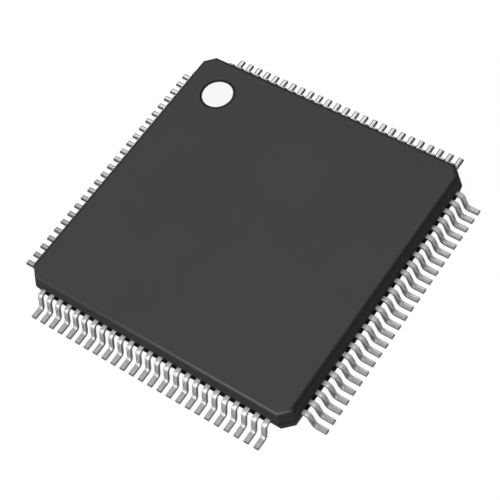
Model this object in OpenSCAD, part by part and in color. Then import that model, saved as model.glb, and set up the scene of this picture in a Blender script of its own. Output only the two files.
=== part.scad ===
// Quad flat pack chip: a low-profile moulded package with 100 gull-wing leads at 0.5 mm pitch.
// Millimetres. The origin is the middle of the seating plane, under the body, and +Z is up.
// Pin one is at the +Y end of the -X side, and the pins run counter-clockwise seen from above.

/* [Body] */
// Width of the square body, across its parting line
body_w = 14; // [13.8:0.1:14.4]
// Thickness of the body
body_t = 1.4; // [1.2:0.1:2]
// Gap between the seating plane and the body's underside
standoff = 0.1; // [0.05:0.01:0.15]
// Draft of the moulded sides, in degrees from upright
draft = 12; // [6:1:15]
// Leg of the cut across each corner, at the parting line
corner_cut = 0.52; // [0.4:0.02:0.6]
// Radius of the edges round the top and the underside
edge_r = 0.12; // [0.04:0.01:0.15]

/* [Marks in the moulding] */
// Distance from the middle lines of the body to the middle of the pin-one dimple
dimple_at = 5.1; // [4.5:0.1:5.4]
// Diameter of the pin-one dimple
dimple_d = 1.66; // [1:0.02:2]
// Depth of the pin-one dimple
dimple_deep = 0.1; // [0.06:0.01:0.12]
// Width of the bare ring between the dimple's wall and the ink
dot_margin = 0.06; // [0.02:0.01:0.1]
// How far the ink lies below the top face
dot_drop = 0.02; // [0.01:0.01:0.04]
// Diameter of the ejector-pin marks in the underside
ejector_d = 1.3; // [0.8:0.1:2]
// Depth of the ejector-pin marks
ejector_deep = 0.04; // [0.02:0.01:0.06]
// Distance from the middle lines of the body to the middle of an ejector-pin mark
ejector_at = 4.4; // [3:0.1:5]

/* [Leads] */
// Leads on each side, in groups of five
side_leads = 25; // [5:5:25]
// Distance from one lead to the next
pitch = 0.5; // [0.45:0.01:0.5]
// Width of a lead outside the body
lead_w = 0.24; // [0.17:0.01:0.27]
// Thickness of the leadframe strip
lead_t = 0.127; // [0.1:0.001:0.15]
// Distance across the chip from toe to toe
lead_span = 16.2; // [15.8:0.05:16.4]
// Straight stretch between the body and the first bend
shoulder = 0.14; // [0.08:0.01:0.2]
// Slope of the leg below the shoulder, in degrees from level
leg_slope = 75; // [60:1:78]
// Radius of both bends, at the middle of the strip
bend_r = 0.2; // [0.15:0.01:0.24]
// How far the stub of the trimmed dam bar stands out of each side of a lead
stub = 0.012; // [0.005:0.001:0.03]

/* [Leadframe inside the body] */
// Width of the square on which the inner lead tips lie
tip_square = 8.7; // [8.4:0.1:9]
// Distance from one inner lead tip to the next
tip_pitch = 0.31; // [0.28:0.01:0.32]
// Width of an inner lead at its tip
tip_w = 0.15; // [0.12:0.01:0.17]
// Straight stretch of a lead inside the body, before it turns towards the die
root = 0.5; // [0.3:0.05:0.6]
// Width of the square die pad
pad_w = 6.8; // [6.2:0.1:7]
// How far the die pad lies below the leads
downset = 0.2; // [0.15:0.01:0.25]
// Width of the four bars that tie the die pad to the corners
tie_w = 0.2; // [0.15:0.01:0.25]
// Outer width of the square ring of tape that holds the inner leads together
tape_out = 11.6; // [11:0.1:12]
// Width of the tape
tape_w = 0.7; // [0.5:0.05:0.9]
// Thickness of the tape
tape_t = 0.05; // [0.03:0.01:0.07]

/* [Die and wires] */
// Width of the square die
die_w = 5.2; // [4.8:0.1:5.6]
// Thickness of the die
die_t = 0.3; // [0.2:0.01:0.32]
// Thickness of the layer of glue under the die
glue_t = 0.03; // [0.02:0.01:0.05]
// How far the glue reaches past the die
glue_rim = 0.1; // [0.05:0.05:0.2]
// Distance from one bonding pad of the die to the next
bond_pitch = 0.19; // [0.15:0.01:0.19]
// Diameter of the bond wire
wire_d = 0.025; // [0.02:0.001:0.03]
// Height of the wire loop above the die
loop_h = 0.17; // [0.12:0.01:0.2]

/* [Hidden] */
sides = 4;
group_size = 5;
groups = sides * side_leads / group_size;
edge_steps = 8;
bend_steps = 7;
past = 0.2;
z_mid = standoff + body_t / 2;
z_low = z_mid - lead_t / 2;
z_high = z_mid + lead_t / 2;
z_top = standoff + body_t;
corner_reach = (body_w - corner_cut) * sqrt(1 / 2);
leg_drop = z_mid - lead_t / 2 - 2 * bend_r * (1 - cos(leg_slope));
bend_run = 2 * bend_r * sin(leg_slope) + leg_drop / tan(leg_slope);
shoulder_end = body_w / 2 + shoulder;
heel = shoulder_end + bend_run;
stub_from = body_w / 2 + 0.05;
stub_to = body_w / 2 + 0.12;
pad_z = z_low - downset;
glue_z = pad_z + lead_t;
die_z = glue_z + glue_t;
die_top = die_z + die_t;
tie_slope = 45;
ball_d = 2.4 * wire_d;
ball_h = 0.8 * wire_d;
bond_inset = 0.08;
stitch_inset = 0.15;

function pin_group(kind, g) = str(kind, group_size * g + 1, "_to_", group_size * (g + 1));

// Points along an arc, both ends included
function arc(middle, r, from, to, steps) =
    [for (k = [0:steps]) middle + r * [cos(from + (to - from) * k / steps), sin(from + (to - from) * k / steps)]];

// Place of a lead across its side: at the body's edge, and at the inner tip
function lead_at(n) = (n - (side_leads - 1) / 2) * pitch;
function tip_at(n) = (n - (side_leads - 1) / 2) * tip_pitch;
function bond_at(n) = (n - (side_leads - 1) / 2) * bond_pitch;

// Upper right edge of the body's section: the drafted side, then the round up to the flat top.
// reach is the distance from the middle of the chip to the parting line.
function upper_edge(reach) =
    let (rise = z_top - z_high - edge_r,
         round_x = reach - rise * tan(draft) - edge_r / cos(draft))
    concat([[reach, z_high]], arc([round_x, z_top - edge_r], edge_r, draft, 90, edge_steps));

// The same edge on the other side or below the parting line, in the order that closes the outline
function flipped(points, sx, sz) =
    [for (p = points) [sx * p[0], z_mid + sz * (p[1] - z_mid)]];
function reversed(points) = [for (k = [len(points) - 1:-1:0]) points[k]];

module section_bar(turn, reach) {
    edge = upper_edge(reach);
    rotate([0, 0, turn])
        rotate([90, 0, 0])
            linear_extrude(height = 2 * body_w, center = true)
                polygon(concat(
                    edge,
                    reversed(flipped(edge, -1, 1)),
                    flipped(edge, -1, -1),
                    reversed(flipped(edge, 1, -1))));
}

// Square body with cut corners, drafted both ways from the parting line
module body_form() {
    intersection() {
        section_bar(0, body_w / 2);
        section_bar(90, body_w / 2);
        section_bar(45, corner_reach);
        section_bar(135, corner_reach);
    }
}

module pin_one_dimple() {
    translate([-dimple_at, dimple_at, z_top - dimple_deep])
        cylinder(h = dimple_deep + past, d = dimple_d, $fn = 64);
}

module ejector_marks() {
    for (sx = [-1, 1])
        for (sy = [-1, 1])
            translate([sx * ejector_at, sy * ejector_at, standoff - past])
                cylinder(h = ejector_deep + past, d = ejector_d, $fn = 48);
}

module moulded_body() {
    color("#404142")
        difference() {
            body_form();
            pin_one_dimple();
            ejector_marks();
            for (g = [0:groups - 1]) {
                leads(g);
                bond_wires(g);
            }
            die_pad();
            die_glue();
            silicon_die();
            lead_tape();
        }
}

module pin_one_dot() {
    color("white")
        translate([-dimple_at, dimple_at, z_top - dimple_deep])
            cylinder(h = dimple_deep - dot_drop, d = dimple_d - 2 * dot_margin, $fn = 64);
}

// Side view of a formed lead: level inside the body, down the leg, level along the foot
module gull_section() {
    top_bend = [shoulder_end, z_mid - bend_r];
    foot_bend = [heel, lead_t / 2 + bend_r];
    outer_r = bend_r + lead_t / 2;
    inner_r = bend_r - lead_t / 2;
    polygon(concat(
        [[0, z_high]],
        arc(top_bend, outer_r, 90, 90 - leg_slope, bend_steps),
        arc(foot_bend, inner_r, 270 - leg_slope, 270, bend_steps),
        [[lead_span / 2, lead_t], [lead_span / 2, 0]],
        arc(foot_bend, outer_r, 270, 270 - leg_slope, bend_steps),
        arc(top_bend, inner_r, 90 - leg_slope, 90, bend_steps),
        [[0, z_low]]));
}

// Stamped outline of a lead from above: tip, fan, root, dam-bar stubs and foot
module stamped_outline(n) {
    y = lead_at(n);
    half = lead_w / 2;
    fan_end = body_w / 2 - root;
    polygon([
        [tip_square / 2, tip_at(n) - tip_w / 2],
        [fan_end, y - half],
        [stub_from, y - half],
        [stub_from, y - half - stub],
        [stub_to, y - half - stub],
        [stub_to, y - half],
        [lead_span / 2 + past, y - half],
        [lead_span / 2 + past, y + half],
        [stub_to, y + half],
        [stub_to, y + half + stub],
        [stub_from, y + half + stub],
        [stub_from, y + half],
        [fan_end, y + half],
        [tip_square / 2, tip_at(n) + tip_w / 2]]);
}

// A lead is stamped flat and then formed, so it is its outline cut out of its side view
module lead(n) {
    intersection() {
        rotate([90, 0, 0])
            linear_extrude(height = body_w, center = true)
                gull_section();
        translate([0, 0, -past])
            linear_extrude(height = z_top + past)
                stamped_outline(n);
    }
}

// Turns what is made for the +X side to the side of group g
module on_side(g) {
    rotate([0, 0, 180 + 90 * floor(g * group_size / side_leads)])
        children();
}

function first_of(g) = (g * group_size) % side_leads;

module leads(g) {
    color("#b4b4b6")
        on_side(g)
            for (n = [first_of(g):first_of(g) + group_size - 1])
                lead(n);
}

// Side view of a tie bar along the diagonal: out of the pad, up the downset, out to the corner cut
module tie_section() {
    inner = pad_w * sqrt(1 / 2) - 0.5;
    rise_from = pad_w * sqrt(1 / 2) + 0.3;
    rise_to = rise_from + downset / tan(tie_slope);
    lean = lead_t * tan(tie_slope / 2);
    polygon([
        [inner, pad_z],
        [rise_from, pad_z],
        [rise_to, z_low],
        [corner_reach, z_low],
        [corner_reach, z_high],
        [rise_to - lean, z_high],
        [rise_from - lean, pad_z + lead_t],
        [inner, pad_z + lead_t]]);
}

module die_pad() {
    color("#b87a4a")
        union() {
            translate([-pad_w / 2, -pad_w / 2, pad_z])
                cube([pad_w, pad_w, lead_t]);
            for (turn = [45:90:315])
                rotate([0, 0, turn])
                    rotate([90, 0, 0])
                        linear_extrude(height = tie_w, center = true)
                            tie_section();
        }
}

module die_glue() {
    glue_w = die_w + 2 * glue_rim;
    color("#d8d8d0")
        translate([-glue_w / 2, -glue_w / 2, glue_z])
            cube([glue_w, glue_w, glue_t]);
}

module silicon_die() {
    color("#5a6070")
        translate([-die_w / 2, -die_w / 2, die_z])
            cube([die_w, die_w, die_t]);
}

module lead_tape() {
    color("#c8782a")
        translate([0, 0, z_high])
            linear_extrude(height = tape_t)
                difference() {
                    square(tape_out, center = true);
                    square(tape_out - 2 * tape_w, center = true);
                }
}

// One bond wire: ball on the die, neck, knee, long span down to the stitch on the inner lead
module bond_wire(n) {
    fan_run = body_w / 2 - root - tip_square / 2;
    ball = [die_w / 2 - bond_inset, bond_at(n)];
    stitch = [tip_square / 2 + stitch_inset,
              tip_at(n) + (lead_at(n) - tip_at(n)) * stitch_inset / fan_run];
    run = norm(stitch - ball);
    heading = atan2(stitch[1] - ball[1], stitch[0] - ball[0]);
    knee_z = die_top + loop_h;
    drop = knee_z - z_high - wire_d / 2;
    translate([ball[0], ball[1], 0])
        rotate([0, 0, heading]) {
            translate([0, 0, die_top])
                cylinder(h = ball_h, d = ball_d, $fn = 16);
            translate([0, 0, die_top])
                cylinder(h = loop_h, d = wire_d, $fn = 16);
            translate([0, 0, knee_z])
                sphere(d = wire_d, $fn = 16);
            translate([0, 0, knee_z])
                rotate([0, 90 + atan2(drop, run), 0])
                    cylinder(h = norm([run, drop]), d = wire_d, $fn = 16);
            translate([run, 0, z_high])
                cylinder(h = wire_d, d = ball_d, $fn = 16);
        }
}

module bond_wires(g) {
    color("gold")
        on_side(g)
            for (n = [first_of(g):first_of(g) + group_size - 1])
                bond_wire(n);
}

moulded_body();
pin_one_dot();
die_pad();
die_glue();
silicon_die();
lead_tape();
for (g = [0:groups - 1]) {
    leads(g);
    bond_wires(g);
}
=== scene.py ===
# Looks of a quad flat pack chip: black moulded body, 100 tin-plated gull-wing leads, white pin-one dot.
# Metres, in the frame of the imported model: the feet stand on z = 0, with the body's middle over the origin.
import math

import bpy
from mathutils import Matrix, Vector


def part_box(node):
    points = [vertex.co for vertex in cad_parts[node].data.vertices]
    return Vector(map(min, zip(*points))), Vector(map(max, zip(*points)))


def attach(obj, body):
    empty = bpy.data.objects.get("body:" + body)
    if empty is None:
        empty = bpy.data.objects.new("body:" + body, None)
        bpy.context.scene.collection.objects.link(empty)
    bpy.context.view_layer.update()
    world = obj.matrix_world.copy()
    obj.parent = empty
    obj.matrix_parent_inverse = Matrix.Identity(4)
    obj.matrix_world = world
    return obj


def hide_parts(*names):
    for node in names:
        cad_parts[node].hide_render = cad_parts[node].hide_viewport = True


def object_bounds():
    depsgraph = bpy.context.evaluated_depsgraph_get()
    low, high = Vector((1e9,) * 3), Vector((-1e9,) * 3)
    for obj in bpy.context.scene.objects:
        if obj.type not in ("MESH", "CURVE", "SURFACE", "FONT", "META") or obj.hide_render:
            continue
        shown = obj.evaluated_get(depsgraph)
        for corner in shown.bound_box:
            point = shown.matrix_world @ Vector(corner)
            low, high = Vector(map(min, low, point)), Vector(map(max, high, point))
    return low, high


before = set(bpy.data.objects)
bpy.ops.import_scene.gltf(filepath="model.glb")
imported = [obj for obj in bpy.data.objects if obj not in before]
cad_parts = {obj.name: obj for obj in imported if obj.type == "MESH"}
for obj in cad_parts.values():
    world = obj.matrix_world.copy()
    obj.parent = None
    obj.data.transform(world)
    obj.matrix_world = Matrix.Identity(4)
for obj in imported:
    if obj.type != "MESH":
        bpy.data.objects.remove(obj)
cad_low, cad_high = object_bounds()


# Die pad
# The pad and its four tie bars are one stamping of copper alloy strip, set down below the leads.
# Rolling leaves fine lines in it. Only the bars' sheared ends show, browned, in the body's cut corners.
MM = 0.001
PAD_COPPER = (0.50, 0.27, 0.16, 1.0)
BROWNED = (0.007, 0.0065, 0.006, 1.0)
# Distances from the middle at which the bars begin to be brown and are all brown
BROWNED_FROM = 8.8 * MM
BROWNED_TO = 9.3 * MM


def place(tree, kind, sockets=None, **settings):
    """Adds a node. A socket is given a plain value or the output of another node."""
    made = tree.nodes.new(kind)
    for name, value in settings.items():
        setattr(made, name, value)
    for key, value in (sockets or {}).items():
        if isinstance(value, bpy.types.NodeSocket):
            tree.links.new(value, made.inputs[key])
        else:
            made.inputs[key].default_value = value
    return made


def result(tree, kind, sockets=None, **settings):
    """Adds a node and gives its first output."""
    return place(tree, kind, sockets, **settings).outputs[0]


def reckon(tree, operation, a, b=0.0, c=0.0):
    """One step of arithmetic in a node tree."""
    return result(tree, "ShaderNodeMath", {0: a, 1: b, 2: c}, operation=operation)


def outside(tree, mask):
    """The mask turned round: 1 where it is 0."""
    return reckon(tree, "SUBTRACT", 1.0, mask)


def ramp(tree, value, start, full):
    """A soft mask: 0 up to the start and 1 from full on, where full may be the larger or the smaller."""
    return result(tree, "ShaderNodeMapRange", {"Value": value, "From Min": start, "From Max": full},
                  interpolation_type="SMOOTHSTEP")


def object_place(tree):
    """The point being shaded, in the object's own metres."""
    return place(tree, "ShaderNodeTexCoord").outputs["Object"]


def off_axis(tree, middle=(0, 0, 0)):
    """How far the shaded point is, in plan, from a point on the ground."""
    flat_place = result(tree, "ShaderNodeVectorMath", {0: object_place(tree), 1: (1, 1, 0)},
                        operation="MULTIPLY")
    apart = place(tree, "ShaderNodeVectorMath", {0: flat_place, 1: middle}, operation="DISTANCE")
    return apart.outputs["Value"]


def named_tree(name, kind, inputs, outputs):
    """A node tree with named sockets, each with the kind of value that it takes."""
    tree = bpy.data.node_groups.new(name, kind)
    for way, sockets in (("INPUT", inputs), ("OUTPUT", outputs)):
        for socket, value_kind in sockets.items():
            tree.interface.new_socket(socket, in_out=way, socket_type="NodeSocket" + value_kind)
    return tree


def grain_group():
    """Shader group: clouds of tone over a fine grain, as a colour, a roughness and a height."""
    tree = named_tree("surface grain", "ShaderNodeTree", {
        "Colour": "Color", "Tone Spread": "Float", "Cloud Scale": "Float", "Grain Scale": "Float",
        "Roughness": "Float", "Roughness Spread": "Float", "Stretch": "Vector",
    }, {"Colour": "Color", "Roughness": "Float", "Height": "Float"})
    given = place(tree, "NodeGroupInput").outputs
    spot = result(tree, "ShaderNodeVectorMath", {0: object_place(tree), 1: given["Stretch"]},
                  operation="MULTIPLY")
    clouds = result(tree, "ShaderNodeTexNoise", {
        "Vector": spot, "Scale": given["Cloud Scale"], "Detail": 4.0, "Roughness": 0.55})
    grains = result(tree, "ShaderNodeTexNoise", {
        "Vector": spot, "Scale": given["Grain Scale"], "Detail": 2.0, "Roughness": 0.6})
    around = reckon(tree, "SUBTRACT", reckon(tree, "ADD", clouds, grains), 1.0)
    tone = reckon(tree, "MULTIPLY_ADD", around, given["Tone Spread"], 1.0)
    coloured = result(tree, "ShaderNodeVectorMath", {0: given["Colour"], "Scale": tone}, operation="SCALE")
    rough = reckon(tree, "MULTIPLY_ADD", around, given["Roughness Spread"], given["Roughness"])
    place(tree, "NodeGroupOutput", {"Colour": coloured, "Roughness": rough, "Height": grains})
    return tree


SURFACE_GRAIN = grain_group()


def finish_material(name, colour, rough, cloud_mm, grain_mm, bump_mm, metallic=0.0, tone=0.25,
                    rough_spread=0.2, gloss=0.5, stretch=(1.0, 1.0, 1.0)):
    """A surface with soft clouds and a fine grain, given by their widths and by the height of the grains."""
    made = bpy.data.materials.new(name)
    made.use_nodes = True
    tree = made.node_tree
    shader = tree.nodes["Principled BSDF"]
    shader.inputs["Metallic"].default_value = metallic
    shader.inputs["Specular IOR Level"].default_value = gloss
    grain = place(tree, "ShaderNodeGroup", {
        "Colour": colour, "Tone Spread": tone, "Cloud Scale": 1 / (cloud_mm * MM),
        "Grain Scale": 1 / (grain_mm * MM), "Roughness": rough, "Roughness Spread": rough_spread,
        "Stretch": stretch}, node_tree=SURFACE_GRAIN).outputs
    bump = result(tree, "ShaderNodeBump", {
        "Strength": 1.0, "Distance": bump_mm * MM, "Height": grain["Height"]})
    tree.links.new(grain["Colour"], shader.inputs["Base Color"])
    tree.links.new(grain["Roughness"], shader.inputs["Roughness"])
    tree.links.new(bump, shader.inputs["Normal"])
    return made


def tint(material, mask, colour):
    """Turns a finished surface towards another colour where the mask is 1."""
    tree = material.node_tree
    base = tree.nodes["Principled BSDF"].inputs["Base Color"]
    under = base.links[0].from_socket
    mixed = result(tree, "ShaderNodeMixRGB", {"Fac": mask, "Color1": under, "Color2": colour})
    tree.links.new(mixed, base)


def dress(node, material):
    """Gives a CAD node its material."""
    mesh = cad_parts[node].data
    mesh.materials.clear()
    mesh.materials.append(material)


def copper_material():
    """Rolled copper alloy, bare but for the browned ends of the bars."""
    made = finish_material("rolled copper alloy", PAD_COPPER, rough=0.42, cloud_mm=0.6, grain_mm=0.05,
                           bump_mm=0.001, metallic=1.0, gloss=0.03, stretch=(0.1, 1.0, 1.0))
    tree = made.node_tree
    browned = ramp(tree, off_axis(tree), BROWNED_FROM, BROWNED_TO)
    tint(made, browned, BROWNED)
    tree.links.new(outside(tree, browned), tree.nodes["Principled BSDF"].inputs["Metallic"])
    return made


dress("die_pad", copper_material())


# Lead tape
# A square ring punched from amber polyimide film, stuck over the inner leads before wiring so that they
# keep their pitch while the compound flows round them.
TAPE_AMBER = (0.50, 0.20, 0.03, 1.0)
dress("lead_tape", finish_material(
    "polyimide film", TAPE_AMBER, rough=0.25, cloud_mm=1.0, grain_mm=0.08, bump_mm=0.0005, tone=0.15))


# Die glue
# The thin layer that holds the die to its pad: epoxy filled with silver flakes, stamped on the pad and
# cured under the die. The flakes give it a dull, grainy grey.
GLUE_GREY = (0.55, 0.55, 0.53, 1.0)
dress("die_glue", finish_material(
    "silver-filled glue", GLUE_GREY, rough=0.55, cloud_mm=0.3, grain_mm=0.02, bump_mm=0.002, metallic=0.6))


# Silicon die
# A square block of silicon, sawn from a polished wafer and set down in the glue. It is smooth and slate
# grey, with a faint film of glass over its circuits.
SLATE = (0.10, 0.11, 0.15, 1.0)
dress("silicon_die", finish_material(
    "polished silicon", SLATE, rough=0.12, cloud_mm=0.8, grain_mm=0.03, bump_mm=0.0001, metallic=0.4,
    rough_spread=0.05))


# Bond wires
# One fine wire of drawn gold for each lead, melted to a ball on the die, looped over and stitched down on
# the inner end of the lead.
WIRE_GOLD = (0.90, 0.62, 0.22, 1.0)
gold = finish_material("drawn gold", WIRE_GOLD, rough=0.2, cloud_mm=0.2, grain_mm=0.02, bump_mm=0.0003,
                       metallic=1.0, tone=0.1)
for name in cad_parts:
    if name.startswith("bond_wires_"):
        dress(name, gold)


# Moulded body
# Black epoxy packed with rounded silica grains, moulded round the leads between two spark-eroded mould
# halves. It is matte charcoal with faint clouds where the flow met, and rubbed smooth along the rim of
# pins 26 to 50. Painted shade makes its sides darker, its other rims and a ring round the dot deeper black,
# and its lower half black from just above the parting line.
BODY_LOW, BODY_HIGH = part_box("moulded_body")
BODY_EDGE = BODY_HIGH[0]
LEAD_LEVEL = (BODY_LOW[2] + BODY_HIGH[2]) / 2
HALF_HEIGHT = BODY_HIGH[2] - LEAD_LEVEL
DRAFT = math.radians(12)
EDGE_RADIUS = 0.12 * MM
CORNER_CUT = 0.52 * MM
# How far inside the parting line the flat of the top ends, and how much further out than the sides the
# cut corners lie
TOP_INSET = (HALF_HEIGHT - EDGE_RADIUS) * math.tan(DRAFT) + EDGE_RADIUS / math.cos(DRAFT)
TOP_FLAT = BODY_EDGE - TOP_INSET
CORNER_FURTHER = (math.sqrt(2) - 1) * BODY_EDGE - CORNER_CUT * math.sqrt(0.5)
DOT_LOW, DOT_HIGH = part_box("pin_one_dot")
DOT_MIDDLE = ((DOT_LOW[0] + DOT_HIGH[0]) / 2, (DOT_LOW[1] + DOT_HIGH[1]) / 2, 0)
DOT_RADIUS = (DOT_HIGH[0] - DOT_LOW[0]) / 2
COMPOUND_BLACK = (0.0540, 0.0556, 0.0586, 1.0)
# Tones of the compound painted as shade: at the rims and round the dot, on the sides, and below
COMPOUND_PAINTED_SHADE = (0.0195, 0.020, 0.021, 1.0)
COMPOUND_SIDE_PAINTED_SHADE = (0.032, 0.0327, 0.034, 1.0)
COMPOUND_BELOW_PAINTED_SHADE = (0.012, 0.012, 0.0123, 1.0)
# Widths of the painted shade at the rims, inside the edge of the top's flat, and round the dot
RIM_INSIDE = 0.07 * MM
DARK_RING = 0.13 * MM
# Depths below the top, or heights above the base, where the painted shade of the sides ends and the flats'
# tone is full
SIDE_TONE_TO = 1.2 * EDGE_RADIUS
FLAT_TONE_FROM = 0.8 * EDGE_RADIUS
# Heights above the parting line at which the painted shade below it begins and is full
PARTING_BLACK_FROM = 0.11 * MM
PARTING_BLACK_FULL = 0.06 * MM
# The rubbed rim: its depths below the top, where it begins towards the front and is all rubbed, and
# where its shine begins and is full from left to right
RUBBED_LOWEST = 0.36 * EDGE_RADIUS
RUBBED_HIGHEST = 0.10 * EDGE_RADIUS
RUBBED_FROM = -6.2 * MM
RUBBED_TO = -6.7 * MM
SHINE_START = -4.5 * MM
SHINE_FULL = 5.5 * MM
RUBBED_SHINE = 0.7
RUBBED_ROUGH = 0.25


def overlap(tree, *masks):
    """A mask that is 1 where all the given ones are."""
    shared = masks[0]
    for mask in masks[1:]:
        shared = reckon(tree, "MULTIPLY", shared, mask)
    return shared


def compound_material():
    """Matte moulding compound with one rubbed rim; its sides, rims, a ring round the dot and its lower half
    are darkened as painted shade.
    """
    made = finish_material("moulding compound", COMPOUND_BLACK, rough=0.6, cloud_mm=3.0, grain_mm=0.045,
                           bump_mm=0.001, tone=0.2, rough_spread=0.1, gloss=0.03)
    tree = made.node_tree
    x, y, height = place(tree, "ShaderNodeSeparateXYZ", {0: object_place(tree)}).outputs
    off_middle = reckon(tree, "ABSOLUTE", reckon(tree, "SUBTRACT", height, LEAD_LEVEL))
    on_flats = ramp(tree, off_middle, HALF_HEIGHT - SIDE_TONE_TO, HALF_HEIGHT - FLAT_TONE_FROM)
    # Painted shade: the sides are darker than the top and the base
    tint(made, outside(tree, on_flats), COMPOUND_SIDE_PAINTED_SHADE)

    aside, along = reckon(tree, "ABSOLUTE", x), reckon(tree, "ABSOLUTE", y)
    to_corner = reckon(tree, "MULTIPLY", reckon(tree, "ADD", aside, along), math.sqrt(0.5))
    to_corner = reckon(tree, "SUBTRACT", to_corner, CORNER_FURTHER)
    outward = reckon(tree, "MAXIMUM", reckon(tree, "MAXIMUM", aside, along), to_corner)
    # Painted shade on the rims of the top and the base, all but the rim of pins 26 to 50
    near_edge = ramp(tree, outward, TOP_FLAT - RIM_INSIDE, TOP_FLAT + EDGE_RADIUS / 2)
    rubbed = ramp(tree, y, RUBBED_FROM, RUBBED_TO)
    tint(made, overlap(tree, on_flats, near_edge, outside(tree, rubbed)), COMPOUND_PAINTED_SHADE)

    # Painted shade: a dark ring round the dot
    ring = ramp(tree, off_axis(tree, DOT_MIDDLE), DOT_RADIUS + DARK_RING, DOT_RADIUS)
    upper_half = reckon(tree, "GREATER_THAN", height, LEAD_LEVEL)
    tint(made, overlap(tree, ring, upper_half), COMPOUND_PAINTED_SHADE)

    # Painted shade: black from just above the parting line down to the rim of the base
    under_parting = ramp(tree, height, LEAD_LEVEL + PARTING_BLACK_FROM, LEAD_LEVEL + PARTING_BLACK_FULL)
    above_base = ramp(tree, height, BODY_LOW[2], BODY_LOW[2] + EDGE_RADIUS)
    tint(made, overlap(tree, under_parting, above_base), COMPOUND_BELOW_PAINTED_SHADE)

    rubbed_middle = (RUBBED_LOWEST + RUBBED_HIGHEST) / 2
    shine_low = ramp(tree, off_middle, HALF_HEIGHT - RUBBED_LOWEST, HALF_HEIGHT - rubbed_middle)
    shine_high = ramp(tree, off_middle, HALF_HEIGHT, HALF_HEIGHT - RUBBED_HIGHEST)
    shine = overlap(tree, shine_low, shine_high, rubbed, ramp(tree, x, SHINE_START, SHINE_FULL))
    shader = tree.nodes["Principled BSDF"]
    tree.links.new(reckon(tree, "MULTIPLY", shine, RUBBED_SHINE), shader.inputs["Coat Weight"])
    shader.inputs["Coat Roughness"].default_value = RUBBED_ROUGH
    return made


dress("moulded_body", compound_material())


# Leads
# Stamped from copper alloy strip, plated with matte tin, trimmed from the dam bar and formed over an
# anvil: level out of the body, down the leg and level along the foot. Inside they fan in towards the die.
STRIP = 0.127 * MM
LEAD_WIDTH = 0.24 * MM
LEAD_PITCH = 0.5 * MM
SIDE_LEADS = 25
GROUP = 5
BEND_RADIUS = 0.2 * MM
BEND_STEPS = 14
LEG_SLOPE = math.radians(75)
LEG_RUN = 2 * BEND_RADIUS * math.tan(LEG_SLOPE / 2) + (LEAD_LEVEL - STRIP / 2) / math.tan(LEG_SLOPE)
BEND_DROP = BEND_RADIUS * (1 - math.cos(LEG_SLOPE))
LEG_TOP = LEAD_LEVEL - BEND_DROP
LEG_BASE = STRIP / 2 + BEND_DROP
SHOULDER_END = BODY_EDGE + 0.14 * MM
FOOT_START = SHOULDER_END + LEG_RUN
TOE = cad_high[0]
# The inner end, where the row fans in
INNER_TIP = 4.35 * MM
TIP_PITCH = 0.31 * MM
TIP_WIDTH = 0.15 * MM
FAN_END = BODY_EDGE - 0.5 * MM
# What the cut through the dam bar leaves standing on both edges
STUB_FROM = BODY_EDGE + 0.05 * MM
STUB_TO = BODY_EDGE + 0.12 * MM
STUB = 0.012 * MM
# The rounding of the edges, and a hair's breadth for points that lie close together
ROUNDED = 0.018 * MM
ROUNDED_STEPS = 3
HAIR = 0.003 * MM
# A face is sheared where it looks at least this much to the side or past the toe, and an edge is sharp
# from this angle on, in radians
SHEARED_FROM = 0.8
SHARP_FROM = 0.7
TIN = (0.33, 0.33, 0.335, 1.0)
# Tones of the tin painted as light or shade: lighter shoulders and pins 26 to 50, darker legs and edges
TIN_SHOULDER_PAINTED_LIGHT = (0.43, 0.43, 0.435, 1.0)
TIN_LEG_PAINTED_SHADE = (0.26, 0.26, 0.264, 1.0)
TIN_EDGE_PAINTED_SHADE = (0.12, 0.12, 0.122, 1.0)
TIN_DEEP_EDGE_PAINTED_SHADE = (0.03, 0.03, 0.0305, 1.0)
# The sheared faces are rough and matte; their darker tone is partly painted shade
TIN_ON_SHEAR_AND_PAINTED_SHADE = (0.20, 0.20, 0.203, 1.0)
TIN_ROW_PAINTED_LIGHT = (0.38, 0.38, 0.385, 1.0)
TIN_SHOULDER_OF_ROW_PAINTED_LIGHT = (0.49, 0.49, 0.495, 1.0)
TIN_BEND_OF_ROW_PAINTED_LIGHT = (0.385, 0.385, 0.39, 1.0)
# How far each tone takes to fade in: back from the shoulder's end, along the leg, at the ends of the
# bends, and before the toe
SHOULDER_FADE = 0.2 * BEND_RADIUS
FADE_DOWN_LEG = 0.28 * MM
FADE_UP_LEG = 0.14 * MM
BEND_FADE = 0.05 * MM
TOE_EDGE = 0.05 * MM
# Where the painted shade along the edges begins and is full, as shares of half the width
EDGE_SHADE_START = 0.70
EDGE_SHADE_FULL = 1.0
DEEPER_SHADE_START = 0.42
DEEPER_SHADE_FULL = 0.72


def lead_path():
    """The middle line of a formed lead, from the inner tip to the toe."""
    upper = Vector((SHOULDER_END, 0, LEAD_LEVEL - BEND_RADIUS))
    lower = Vector((FOOT_START, 0, STRIP / 2 + BEND_RADIUS))
    down_leg = Vector((math.cos(LEG_SLOPE), 0, -math.sin(LEG_SLOPE))) * HAIR
    level = [INNER_TIP, FAN_END, STUB_FROM - HAIR, STUB_FROM, STUB_TO, STUB_TO + HAIR]
    points = [Vector((x, 0, LEAD_LEVEL)) for x in level]
    turns = [LEG_SLOPE * k / BEND_STEPS for k in range(BEND_STEPS + 1)]
    points += [upper + BEND_RADIUS * Vector((math.sin(t), 0, math.cos(t))) for t in turns]
    foot_bend = [lower - BEND_RADIUS * Vector((math.sin(t), 0, math.cos(t))) for t in reversed(turns)]
    points += [points[-1] + down_leg, foot_bend[0] - down_leg] + foot_bend
    points += [Vector((FOOT_START + HAIR, 0, STRIP / 2)), Vector((TOE, 0, STRIP / 2))]
    mesh = bpy.data.meshes.new("lead path")
    mesh.from_pydata(points, [(k, k + 1) for k in range(len(points) - 1)], [])
    return mesh


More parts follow.
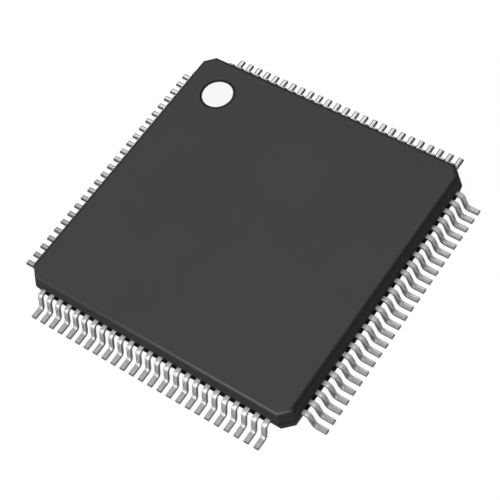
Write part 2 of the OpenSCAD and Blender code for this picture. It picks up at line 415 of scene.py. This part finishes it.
def bar_along(tree, path, width, height, edge_radius):
    """A bar with softly rounded edges and closed ends, along a path."""
    path = result(tree, "GeometryNodeSetCurveNormal", {"Curve": path}, mode="Z_UP")
    section = result(tree, "GeometryNodeCurvePrimitiveQuadrilateral", {"Width": width, "Height": height})
    section = result(tree, "GeometryNodeFilletCurve", {
        "Curve": section, "Radius": edge_radius, "Count": ROUNDED_STEPS}, mode="POLY")
    return result(tree, "GeometryNodeCurveToMesh", {
        "Curve": path, "Profile Curve": section, "Fill Caps": True})


def keep_value(tree, geometry, name, value, domain, data_type="FLOAT"):
    """Stores a value on the geometry, under a name."""
    return result(tree, "GeometryNodeStoreNamedAttribute", {
        "Geometry": geometry, "Name": name, "Value": value}, data_type=data_type, domain=domain)


def kept_value(tree, name, data_type="FLOAT"):
    """The value that is stored under a name."""
    return result(tree, "GeometryNodeInputNamedAttribute", {"Name": name}, data_type=data_type)


def lead_tree():
    """Geometry tree: sweeps the strip along its path, repeats it, fans the inner ends in and tells the
    sheared faces from the rolled ones."""
    tree = named_tree("formed leads", "GeometryNodeTree", {
        "Geometry": "Geometry", "Count": "Int", "First Place": "Float", "Pitch": "Float",
        "Tip Pitch": "Float", "Width": "Float", "Tip Width": "Float", "Thickness": "Float",
        "Edge Radius": "Float", "Inner Tip": "Float", "Fan End": "Float", "Stub From": "Float",
        "Stub To": "Float", "Stub": "Float", "Toe": "Float", "Turn": "Float", "Plating": "Material",
        "Sheared Edge": "Material"}, {"Geometry": "Geometry"})
    given = place(tree, "NodeGroupInput").outputs

    path = result(tree, "GeometryNodeMeshToCurve", {"Mesh": given["Geometry"]})
    strip = bar_along(tree, path, given["Width"], given["Thickness"], given["Edge Radius"])
    start = result(tree, "ShaderNodeCombineXYZ", {1: given["First Place"]})
    step = result(tree, "ShaderNodeCombineXYZ", {1: given["Pitch"]})
    places = result(tree, "GeometryNodeMeshLine", {
        "Count": given["Count"], "Start Location": start, "Offset": step})
    row = result(tree, "GeometryNodeInstanceOnPoints", {"Points": places, "Instance": strip})
    index = result(tree, "GeometryNodeInputIndex")
    middle = reckon(tree, "MULTIPLY_ADD", index, given["Pitch"], given["First Place"])
    row = keep_value(tree, row, "middle", middle, "INSTANCE")
    row = result(tree, "GeometryNodeRealizeInstances", {"Geometry": row})

    spot = result(tree, "GeometryNodeInputPosition")
    x, y, z = place(tree, "ShaderNodeSeparateXYZ", {0: spot}).outputs
    middle = kept_value(tree, "middle")
    aside = reckon(tree, "SUBTRACT", y, middle)
    across = reckon(tree, "DIVIDE", aside, reckon(tree, "MULTIPLY", given["Width"], 0.5))
    row = keep_value(tree, row, "across", across, "POINT")
    row = keep_value(tree, row, "outward", x, "POINT")

    fan = result(tree, "ShaderNodeMapRange", {
        "Value": x, "From Min": given["Fan End"], "From Max": given["Inner Tip"]})
    pitch_left = reckon(tree, "DIVIDE", given["Tip Pitch"], given["Pitch"])
    width_left = reckon(tree, "DIVIDE", given["Tip Width"], given["Width"])
    drawn_in = result(tree, "ShaderNodeMapRange", {"Value": fan, "To Min": 1.0, "To Max": pitch_left})
    narrowed = result(tree, "ShaderNodeMapRange", {"Value": fan, "To Min": 1.0, "To Max": width_left})
    after = reckon(tree, "GREATER_THAN", x, given["Stub From"])
    before = reckon(tree, "LESS_THAN", x, given["Stub To"])
    wider = reckon(tree, "DIVIDE", reckon(tree, "MULTIPLY", given["Stub"], 2.0), given["Width"])
    widened = reckon(tree, "MULTIPLY_ADD", overlap(tree, after, before), wider, narrowed)
    new_y = reckon(tree, "MULTIPLY_ADD", aside, widened, reckon(tree, "MULTIPLY", middle, drawn_in))
    moved = result(tree, "ShaderNodeCombineXYZ", {0: x, 1: new_y, 2: z})
    leads = result(tree, "GeometryNodeSetPosition", {"Geometry": row, "Position": moved})
    leads = result(tree, "GeometryNodeRemoveAttribute", {"Geometry": leads, "Name": "middle"})

    normal = result(tree, "GeometryNodeInputNormal")
    to_toe, to_side, _ = place(tree, "ShaderNodeSeparateXYZ", {0: normal}).outputs
    beside = reckon(tree, "GREATER_THAN", reckon(tree, "ABSOLUTE", to_side), SHEARED_FROM)
    at_end = reckon(tree, "GREATER_THAN", x, reckon(tree, "SUBTRACT", given["Toe"], HAIR))
    at_toe = overlap(tree, at_end, reckon(tree, "GREATER_THAN", to_toe, SHEARED_FROM))
    leads = keep_value(tree, leads, "sheared", reckon(tree, "ADD", beside, at_toe), "FACE", "BOOLEAN")
    leads = result(tree, "GeometryNodeSetShadeSmooth", {"Geometry": leads, "Shade Smooth": True})
    sharp = reckon(tree, "GREATER_THAN", result(tree, "GeometryNodeInputMeshEdgeAngle"), SHARP_FROM)
    leads = result(tree, "GeometryNodeSetShadeSmooth", {
        "Geometry": leads, "Selection": sharp, "Shade Smooth": False}, domain="EDGE")

    leads = result(tree, "GeometryNodeGeometryToInstance", {"Geometry": leads})
    turned = result(tree, "ShaderNodeCombineXYZ", {2: given["Turn"]})
    leads = result(tree, "GeometryNodeRotateInstances", {"Instances": leads, "Rotation": turned})
    leads = result(tree, "GeometryNodeRealizeInstances", {"Geometry": leads})
    leads = result(tree, "GeometryNodeSetMaterial", {"Geometry": leads, "Material": given["Plating"]})
    leads = result(tree, "GeometryNodeSetMaterial", {
        "Geometry": leads, "Selection": kept_value(tree, "sheared", "BOOLEAN"),
        "Material": given["Sheared Edge"]})
    place(tree, "NodeGroupOutput", {"Geometry": leads})
    return tree


def tin_material():
    """Matte tin with painted light and shade: lighter on the shoulders and upper bends and along pins 26 to
    50, bends included, as painted light, and darker on the legs, at the toes and along both edges as painted
    shade. The painted edge shade is deeper and darker on the feet of pins 1 to 25 and 76 to 100."""
    made = finish_material("matte tin plate", TIN, rough=0.25, cloud_mm=0.35, grain_mm=0.02,
                           bump_mm=0.00005, metallic=0.6, tone=0.06, rough_spread=0.05)
    tree = made.node_tree
    across = place(tree, "ShaderNodeAttribute", attribute_name="across").outputs["Fac"]
    outward = place(tree, "ShaderNodeAttribute", attribute_name="outward").outputs["Fac"]
    x, y, height = place(tree, "ShaderNodeSeparateXYZ", {0: object_place(tree)}).outputs

    # Painted light: pins 26 to 50, and the shoulders with their upper bends, are lighter
    row_in_painted_light = reckon(tree, "LESS_THAN", y, -BODY_EDGE)
    shoulder_tone_end = SHOULDER_END + BEND_RADIUS
    shoulder_in_painted_light = ramp(tree, outward, shoulder_tone_end, shoulder_tone_end - SHOULDER_FADE)
    tint(made, row_in_painted_light, TIN_ROW_PAINTED_LIGHT)
    tint(made, shoulder_in_painted_light, TIN_SHOULDER_PAINTED_LIGHT)
    tint(made, overlap(tree, shoulder_in_painted_light, row_in_painted_light), TIN_SHOULDER_OF_ROW_PAINTED_LIGHT)

    # Painted shade on the legs; the bends of pins 26 to 50 keep that row's painted light
    below_bend = ramp(tree, height, LEG_TOP, LEG_TOP - FADE_DOWN_LEG)
    above_bend = ramp(tree, height, LEG_BASE, LEG_BASE + FADE_UP_LEG)
    leg_in_painted_shade = overlap(tree, below_bend, above_bend)
    tint(made, leg_in_painted_shade, TIN_LEG_PAINTED_SHADE)
    past_shoulder = ramp(tree, outward, SHOULDER_END, SHOULDER_END + BEND_FADE)
    before_foot = ramp(tree, outward, FOOT_START, FOOT_START - BEND_FADE)
    bent = overlap(tree, outside(tree, leg_in_painted_shade), past_shoulder, before_foot)
    tint(made, overlap(tree, bent, row_in_painted_light), TIN_BEND_OF_ROW_PAINTED_LIGHT)

    # Painted shade along both edges and at the toe, deeper and darker on the feet of pins 1 to 25 and 76 to
    # 100
    off_middle = reckon(tree, "ABSOLUTE", across)
    rolled = ramp(tree, off_middle, EDGE_SHADE_START, EDGE_SHADE_FULL)
    at_toe = ramp(tree, outward, TOE - TOE_EDGE, TOE - TOE_EDGE / 2)
    tint(made, reckon(tree, "MAXIMUM", rolled, at_toe), TIN_EDGE_PAINTED_SHADE)
    deeper_edge_shade = ramp(tree, off_middle, DEEPER_SHADE_START, DEEPER_SHADE_FULL)
    rows_with_deeper_shade = reckon(tree, "MAXIMUM", reckon(tree, "LESS_THAN", x, -BODY_EDGE),
                      reckon(tree, "GREATER_THAN", y, BODY_EDGE))
    tint(made, overlap(tree, deeper_edge_shade, rows_with_deeper_shade, outside(tree, before_foot)), TIN_DEEP_EDGE_PAINTED_SHADE)
    return made


def made_by(tree, values, name, mesh):
    """The piece that a geometry tree makes from a mesh and the named values."""
    holder = bpy.data.objects.new("holder", mesh)
    bpy.context.scene.collection.objects.link(holder)
    maker = holder.modifiers.new("maker", "NODES")
    maker.node_group = tree
    for socket in tree.interface.items_tree:
        if socket.in_out == "INPUT" and socket.name in values:
            maker[socket.identifier] = values[socket.name]
    ready = holder.evaluated_get(bpy.context.evaluated_depsgraph_get())
    piece = bpy.data.objects.new(name, bpy.data.meshes.new_from_object(ready))
    bpy.data.objects.remove(holder)
    bpy.context.scene.collection.objects.link(piece)
    return piece


FORMED_LEADS = lead_tree()
LEAD_PATH = lead_path()
LEAD_SHAPE = {
    "Count": GROUP, "Pitch": LEAD_PITCH, "Tip Pitch": TIP_PITCH, "Width": LEAD_WIDTH,
    "Tip Width": TIP_WIDTH, "Thickness": STRIP, "Edge Radius": ROUNDED, "Inner Tip": INNER_TIP,
    "Fan End": FAN_END, "Stub From": STUB_FROM, "Stub To": STUB_TO, "Stub": STUB, "Toe": TOE,
    "Plating": tin_material(),
    "Sheared Edge": finish_material("tin on a sheared face, partly painted shade", TIN_ON_SHEAR_AND_PAINTED_SHADE, rough=0.55, cloud_mm=0.2,
                                    grain_mm=0.015, bump_mm=0.001, tone=0.3, gloss=0.25)}


def lead_group(first_pin):
    """Five neighbouring leads, as one piece that stands for their CAD node."""
    side, at = divmod(first_pin - 1, SIDE_LEADS)
    numbers = f"{first_pin}_to_{first_pin + GROUP - 1}"
    group_place = {"First Place": (at - (SIDE_LEADS - 1) / 2) * LEAD_PITCH,
                   "Turn": math.pi + side * math.pi / 2}
    piece = made_by(FORMED_LEADS, LEAD_SHAPE | group_place, f"pins_{numbers}", LEAD_PATH)
    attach(piece, "root")
    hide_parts(f"leads_{numbers}")


for first_pin in range(1, 4 * SIDE_LEADS, GROUP):
    lead_group(first_pin)


# Moulding flash
# Compound that the mould squeezed into the gaps between the lead roots, nearly as thick as the strip, and
# that was cut off together with the dam bar. A short web stays in every gap, near black as painted shade
# between the roots.
FLASH_BEDDED = 0.03 * MM
FLASH_REACH = STUB_TO - BODY_EDGE
FLASH_THICK = 0.9 * STRIP
FLASH_WIDE = LEAD_PITCH - LEAD_WIDTH - 2 * STUB - 2 * HAIR
FLASH_ROUNDED = 0.025 * MM
# Near black, as painted shade between the lead roots
FLASH_PAINTED_SHADE = (0.006, 0.006, 0.006, 1.0)


def flash_tree():
    """Geometry tree: one web, repeated along a side, and the side repeated round the body."""
    tree = named_tree("moulding flash in painted shade", "GeometryNodeTree", {
        "Geometry": "Geometry", "Gaps": "Int", "Sides": "Int", "First Place": "Vector",
        "Pitch": "Vector", "Long": "Float", "Wide": "Float", "Thick": "Float", "Edge Radius": "Float",
        "Compound": "Material"}, {"Geometry": "Geometry"})
    given = place(tree, "NodeGroupInput").outputs
    half = reckon(tree, "MULTIPLY", given["Wide"], 0.5)
    near = result(tree, "ShaderNodeCombineXYZ", {1: reckon(tree, "MULTIPLY", half, -1.0)})
    far = result(tree, "ShaderNodeCombineXYZ", {1: half})
    across = result(tree, "GeometryNodeCurvePrimitiveLine", {"Start": near, "End": far})
    web = bar_along(tree, across, given["Long"], given["Thick"], given["Edge Radius"])
    places = result(tree, "GeometryNodeMeshLine", {
        "Count": given["Gaps"], "Start Location": given["First Place"], "Offset": given["Pitch"]})
    side = result(tree, "GeometryNodeInstanceOnPoints", {"Points": places, "Instance": web})
    side = result(tree, "GeometryNodeRealizeInstances", {"Geometry": side})
    corners = result(tree, "GeometryNodeMeshLine", {"Count": given["Sides"], "Offset": (0, 0, 0)})
    index = result(tree, "GeometryNodeInputIndex")
    turn = result(tree, "ShaderNodeCombineXYZ", {2: reckon(tree, "MULTIPLY", index, math.pi / 2)})
    webs = result(tree, "GeometryNodeInstanceOnPoints", {
        "Points": corners, "Instance": side, "Rotation": turn})
    webs = result(tree, "GeometryNodeRealizeInstances", {"Geometry": webs})
    webs = result(tree, "GeometryNodeSetMaterial", {"Geometry": webs, "Material": given["Compound"]})
    place(tree, "NodeGroupOutput", {"Geometry": webs})
    return tree


first_gap = (BODY_EDGE + (FLASH_REACH - FLASH_BEDDED) / 2, -(SIDE_LEADS / 2 - 1) * LEAD_PITCH, LEAD_LEVEL)
flash = made_by(flash_tree(), {
    "Gaps": SIDE_LEADS - 1, "Sides": 4, "First Place": first_gap, "Pitch": (0, LEAD_PITCH, 0),
    "Long": FLASH_REACH + FLASH_BEDDED, "Wide": FLASH_WIDE, "Thick": FLASH_THICK,
    "Edge Radius": FLASH_ROUNDED,
    "Compound": finish_material("moulding flash in painted shade", FLASH_PAINTED_SHADE, rough=0.6, cloud_mm=0.5, grain_mm=0.03,
                                bump_mm=0.001, tone=0.2, gloss=0.03),
}, "flash_and_shade_between_leads", bpy.data.meshes.new("no mesh"))
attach(flash, "root")


# Pin-one dot
# White marking ink, filled into the shallow round dimple that the mould leaves beside pin one, and cured
# flat, a little below the rim of the dimple. Its outer edge is painted dark, as shade at the dimple's wall.
INK_WHITE = (0.985, 0.985, 0.985, 1.0)
DOT_SHADE_START = 0.93 * DOT_RADIUS
DOT_SHADE_FULL = 0.95 * DOT_RADIUS

ink = finish_material("white ink", INK_WHITE, rough=0.6, cloud_mm=0.5, grain_mm=0.03, bump_mm=0.001,
                      tone=0.03)
# Painted shade on the dot's outer edge, where it meets the dimple's wall
dot_edge_shade = ramp(ink.node_tree, off_axis(ink.node_tree, DOT_MIDDLE), DOT_SHADE_START, DOT_SHADE_FULL)
tint(ink, dot_edge_shade, COMPOUND_PAINTED_SHADE)
dress("pin_one_dot", ink)


# Studio
# A plain white floor and backdrop under three soft boxes: a wide one overhead, a tall one at the front
# left that the bends of the leads mirror, and a small one at the back left that the far feet mirror.
FLOOR_REACH = 3.0
FLOOR_LEVEL = -0.001 * MM
FLOOR_PALE = (0.10, 0.10, 0.10, 1)
WHITE = (1, 1, 1, 1)
ROOM_LIGHT = 0.10
# How much of the floor's white the shadow can take, and the spare that keeps the rest of it white
SHADOW_SHARE = 0.1
WHITE_SPARE = 0.03
# Distances from the chip's middle at which the floor begins to glow by itself, and glows full white
FULL_GLOW_FROM = 40 * MM
FULL_GLOW_TO = 160 * MM


def background_share(tree):
    """1 for a ray from the camera, or one mirrored or let through by the object."""
    rays = place(tree, "ShaderNodeLightPath").outputs
    seen = reckon(tree, "MAXIMUM", rays["Is Camera Ray"], rays["Is Glossy Ray"])
    return reckon(tree, "MAXIMUM", seen, rays["Is Transmission Ray"])


def floor_material():
    """Pale floor that shows white, with the object's shadow on it, and that is clear from below."""
    made = bpy.data.materials.new("floor")
    made.use_nodes = True
    tree = made.node_tree
    tree.nodes.clear()
    pale = result(tree, "ShaderNodeBsdfDiffuse", {"Color": FLOOR_PALE})
    shaded = result(tree, "ShaderNodeBsdfDiffuse", {"Color": (SHADOW_SHARE,) * 3 + (1,)})
    far_away = ramp(tree, off_axis(tree), FULL_GLOW_FROM, FULL_GLOW_TO)
    glow = reckon(tree, "MULTIPLY_ADD", far_away, SHADOW_SHARE - WHITE_SPARE,
                  1 - SHADOW_SHARE + WHITE_SPARE)
    white = result(tree, "ShaderNodeEmission", {"Strength": glow})
    shown = result(tree, "ShaderNodeAddShader", {0: shaded, 1: white})
    surface = result(tree, "ShaderNodeMixShader", {0: background_share(tree), 1: pale, 2: shown})
    clear = result(tree, "ShaderNodeBsdfTransparent")
    below = place(tree, "ShaderNodeNewGeometry").outputs["Backfacing"]
    surface = result(tree, "ShaderNodeMixShader", {0: below, 1: surface, 2: clear})
    place(tree, "ShaderNodeOutputMaterial", {"Surface": surface})
    return made


floor_mesh = bpy.data.meshes.new("floor")
floor_corners = [(x * FLOOR_REACH, y * FLOOR_REACH, FLOOR_LEVEL)
                 for x, y in ((-1, -1), (1, -1), (1, 1), (-1, 1))]
floor_mesh.from_pydata(floor_corners, [], [(0, 1, 2, 3)])
floor_mesh.materials.append(floor_material())
floor = bpy.data.objects.new("floor", floor_mesh)
bpy.context.scene.collection.objects.link(floor)

world = bpy.data.worlds.new("studio")
bpy.context.scene.world = world
world.use_nodes = True
air = world.node_tree
air.nodes.clear()
dim = result(air, "ShaderNodeBackground", {"Color": WHITE, "Strength": ROOM_LIGHT})
bright = result(air, "ShaderNodeBackground", {"Color": WHITE, "Strength": 1.0})
both = result(air, "ShaderNodeMixShader", {0: background_share(air), 1: dim, 2: bright})
place(air, "ShaderNodeOutputWorld", {"Surface": both})


def soft_box(name, toward, away_mm, wide_mm, tall_mm, brightness):
    """A soft box in the given direction. Brightness 1 is that of the white background."""
    lamp = bpy.data.lights.new(name, "AREA")
    lamp.shape = "RECTANGLE"
    lamp.size = wide_mm * MM
    lamp.size_y = tall_mm * MM
    lamp.energy = brightness * math.pi * lamp.size * lamp.size_y
    box = bpy.data.objects.new(name, lamp)
    direction = Vector(toward).normalized()
    box.location = direction * away_mm * MM
    box.rotation_euler = direction.to_track_quat("Z", "Y").to_euler()
    bpy.context.scene.collection.objects.link(box)


soft_box("overhead box", toward=(0.30, -0.48, 0.82), away_mm=160, wide_mm=220, tall_mm=220, brightness=1.9)
soft_box("front left box", toward=(-0.40, -0.86, 0.42), away_mm=120, wide_mm=76, tall_mm=126, brightness=2.2)
soft_box("back left box", toward=(-0.45, 0.55, 0.70), away_mm=160, wide_mm=60, tall_mm=60, brightness=3.6)


# Camera
# High over the front right corner, turned so that the dot's corner is at the top of the picture. Place,
# turn and focal length are those fitted to the leads and corners of the body.
CAMERA_AT = Vector((25.048, -21.908, 50.092)) * MM
CAMERA_AZIMUTH = math.radians(49.02)
CAMERA_ELEVATION = math.radians(56.86)
CAMERA_ROLL = math.radians(-16.63)
FOCAL_PIXELS = 1360.9
IMAGE_PIXELS = 500
SENSOR_MM = 36.0
NEAREST = 1 * MM
FURTHEST = 10

back = Vector((math.sin(CAMERA_AZIMUTH) * math.cos(CAMERA_ELEVATION),
               -math.cos(CAMERA_AZIMUTH) * math.cos(CAMERA_ELEVATION), math.sin(CAMERA_ELEVATION)))
level_right = Vector((math.cos(CAMERA_AZIMUTH), math.sin(CAMERA_AZIMUTH), 0))
level_up = back.cross(level_right)
right = math.cos(CAMERA_ROLL) * level_right + math.sin(CAMERA_ROLL) * level_up
up = back.cross(right)
lens = bpy.data.cameras.new("camera")
lens.sensor_width = SENSOR_MM
lens.lens = SENSOR_MM * FOCAL_PIXELS / IMAGE_PIXELS
lens.clip_start = NEAREST
lens.clip_end = FURTHEST
camera = bpy.data.objects.new("camera", lens)
camera.matrix_world = Matrix.Translation(CAMERA_AT) @ Matrix((right, up, back)).transposed().to_4x4()
bpy.context.scene.collection.objects.link(camera)
bpy.context.scene.camera = camera
bpy.context.scene.view_settings.view_transform = "Standard"
